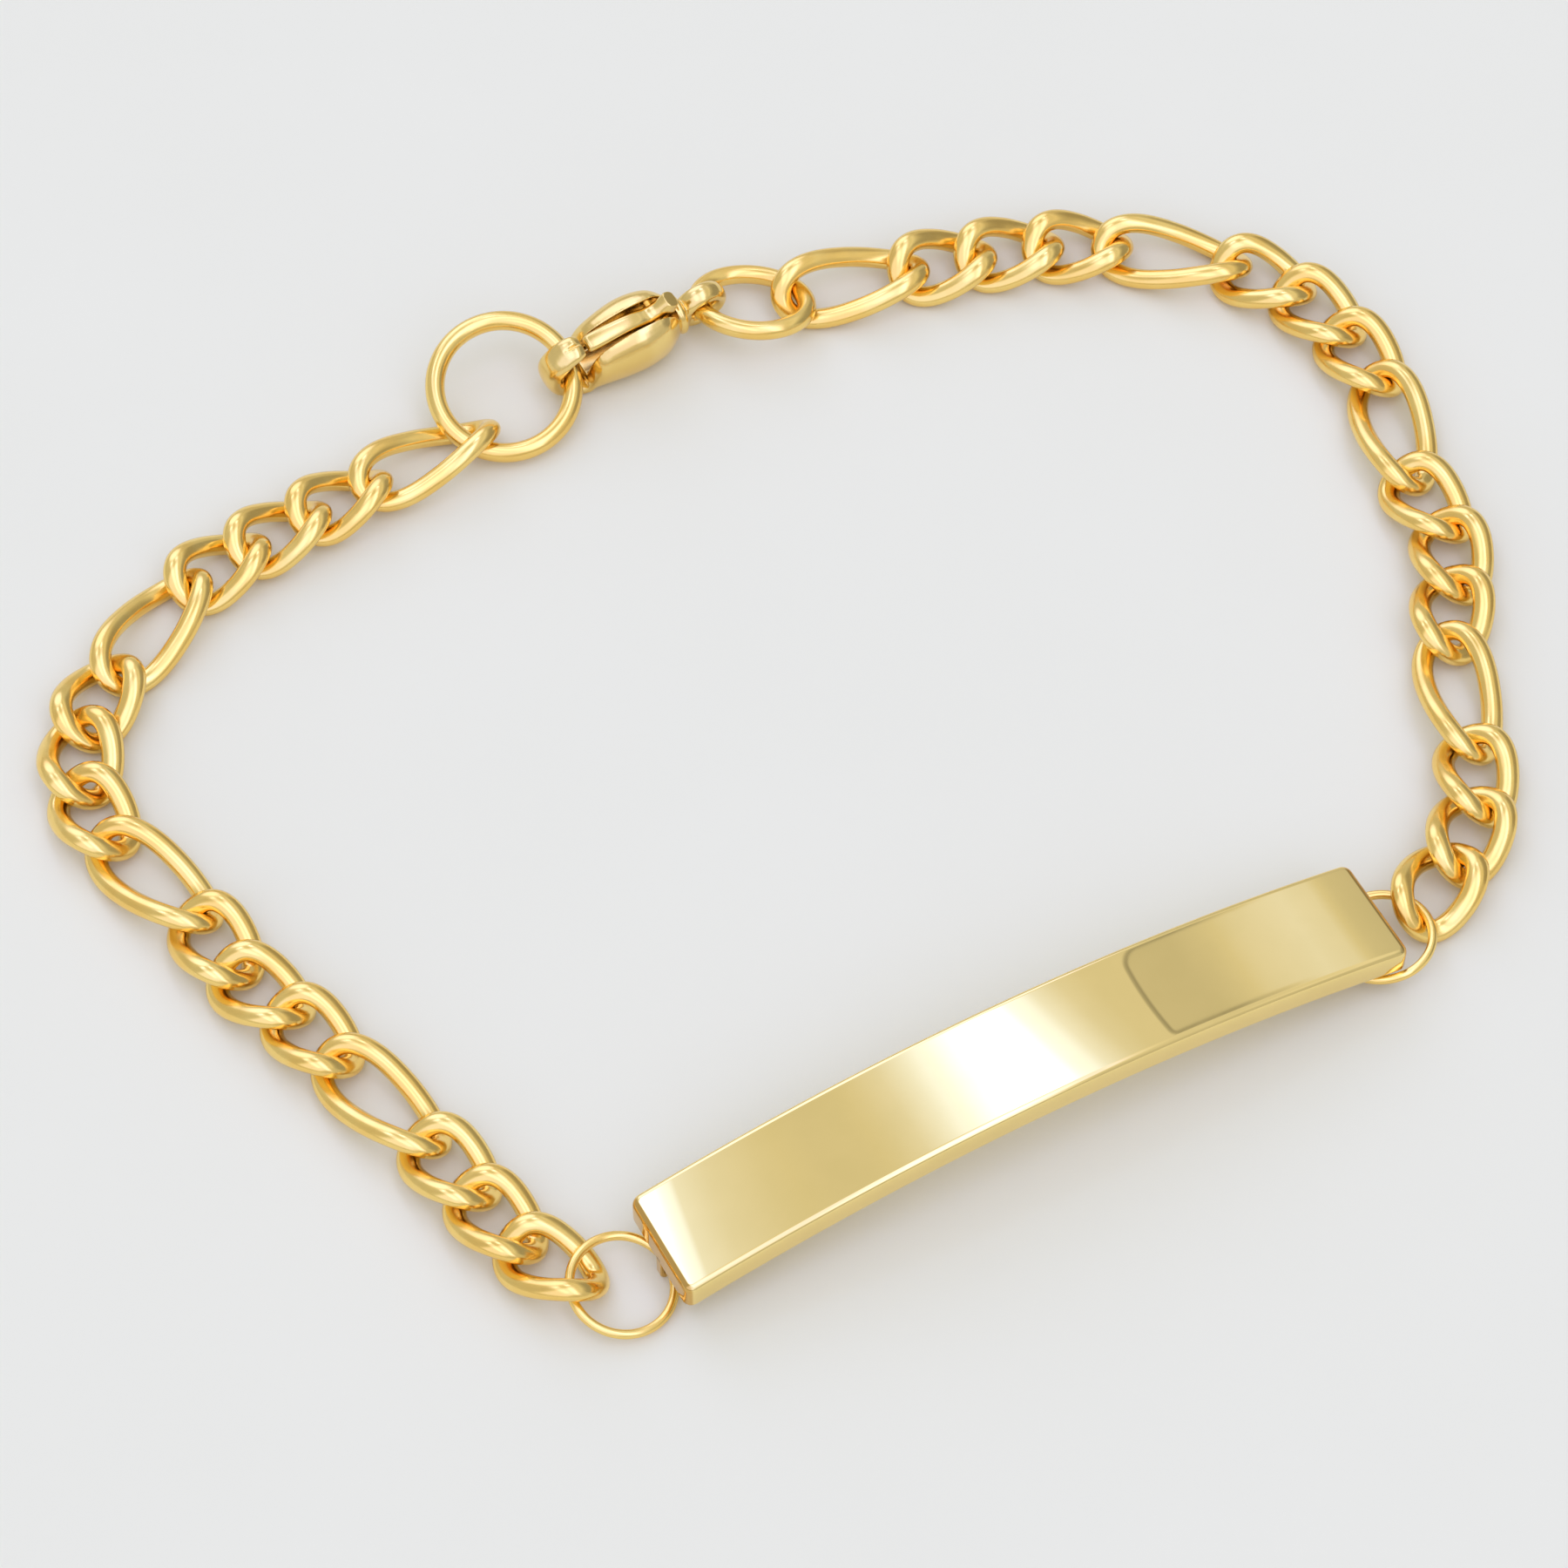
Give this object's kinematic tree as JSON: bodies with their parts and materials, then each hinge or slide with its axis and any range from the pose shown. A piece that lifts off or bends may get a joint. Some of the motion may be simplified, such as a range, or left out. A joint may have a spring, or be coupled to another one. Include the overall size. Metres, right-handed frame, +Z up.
{
  "type": "identity bracelet",
  "caption": "Gold identity bracelet with a curved bare name plate, a chain of short and long twisted links and a lobster clasp, fastened and lying flat.",
  "frame": {"origin": "middle of the bracelet's box, on the surface that it lies on", "axes": "+X along the loop's longer side with the plate at the front right, +Y away from the plate's side towards the clasp, +Z up"},
  "size_m": [0.0722, 0.0661, 0.0051],
  "materials": {
    "plate_gold": "polished",
    "chain_gold": "polished",
    "clasp_gold": "polished"
  },
  "bodies": {
    "root": {"plate": "plate_gold", "ring_left": "chain_gold", "ring_right": "chain_gold", "ring_clasp_end": "chain_gold", "ring_clasp": "chain_gold", "clasp_body": "clasp_gold", "clasp_pin": "clasp_gold", "link_left_01": "chain_gold", "link_left_02": "chain_gold", "link_left_03": "chain_gold", "link_left_04": "chain_gold", "link_left_05": "chain_gold", "link_left_06": "chain_gold", "link_left_07": "chain_gold", "link_left_08": "chain_gold", "link_left_09": "chain_gold", "link_left_10": "chain_gold", "link_left_11": "chain_gold", "link_left_12": "chain_gold", "link_left_13": "chain_gold", "link_left_14": "chain_gold", "link_left_15": "chain_gold", "link_left_16": "chain_gold", "link_right_01": "chain_gold", "link_right_02": "chain_gold", "link_right_03": "chain_gold", "link_right_04": "chain_gold", "link_right_05": "chain_gold", "link_right_06": "chain_gold", "link_right_07": "chain_gold", "link_right_08": "chain_gold", "link_right_09": "chain_gold", "link_right_10": "chain_gold", "link_right_11": "chain_gold", "link_right_12": "chain_gold", "link_right_13": "chain_gold", "link_right_14": "chain_gold", "link_right_15": "chain_gold", "link_right_16": "chain_gold"},
    "lever": {"clasp_lever": "clasp_gold"}
  },
  "joints": [
    {"name": "lever_hinge", "type": "hinge", "parent": "root", "child": "lever", "pos_m": [-0.00633, 0.02511, 0.0029], "axis": [0.5142, -0.8229, -0.2419], "range_deg": [0, 25], "stiffness_Nm_per_rad": 0.0002, "springref_deg": -60.16}
  ]
}
